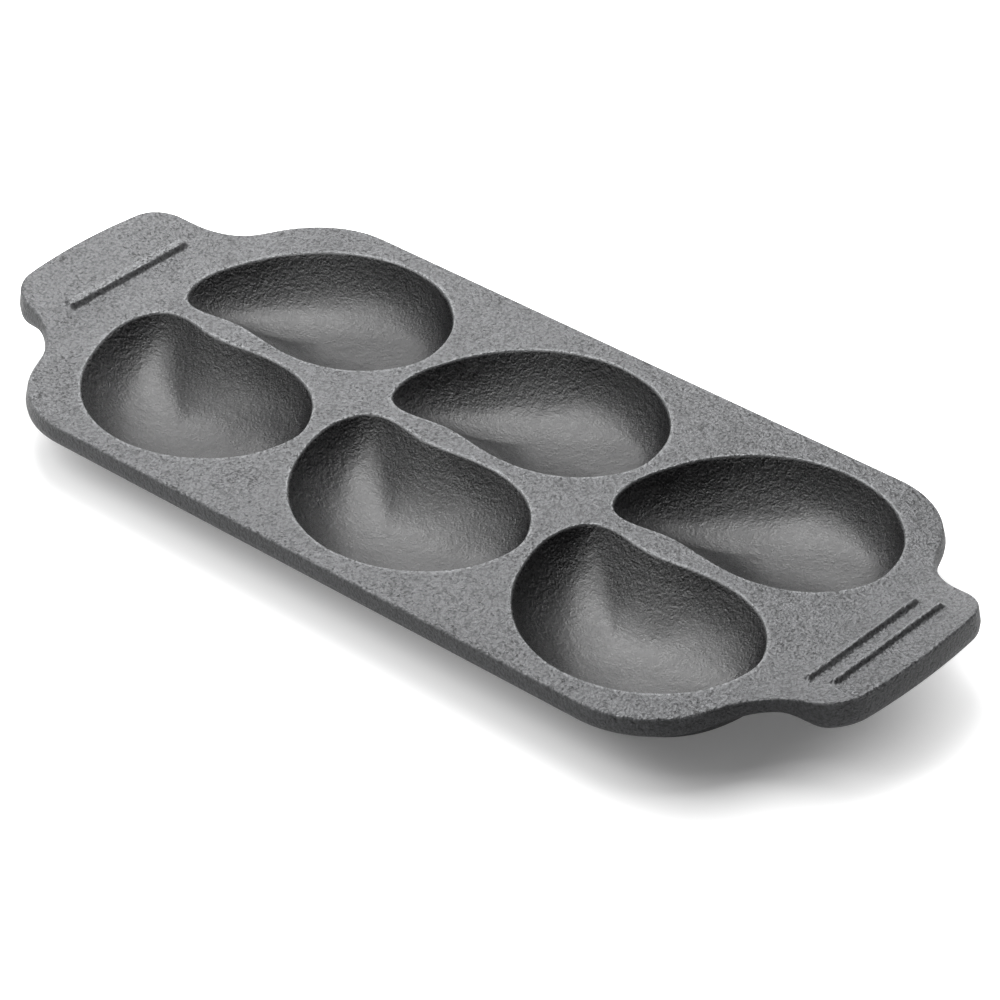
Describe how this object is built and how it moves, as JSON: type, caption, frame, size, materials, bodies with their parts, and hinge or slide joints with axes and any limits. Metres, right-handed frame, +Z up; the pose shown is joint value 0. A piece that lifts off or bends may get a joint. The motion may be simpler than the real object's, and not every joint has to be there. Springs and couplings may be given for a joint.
{
  "type": "cast iron oyster grill pan",
  "caption": "Rectangular cast iron grill pan with oyster-shaped bowls sunk in a flat plate and a raised, tapered handle with grip bars at each end.",
  "frame": {"origin": "centre of the bounding box in plan, on the plane of the flat feet under the bowls", "axes": "+X along the pan towards the handle with two slim grip bars, +Y across it towards the back row of bowls, +Z up"},
  "size_m": [0.337, 0.1436, 0.0278],
  "materials": {
    "casting": "seasoned sand-cast iron, dark grey, pebbled on the flats and smoother on the bowl floors"
  },
  "bodies": {
    "root": {"pan_casting": "casting"}
  },
  "joints": []
}
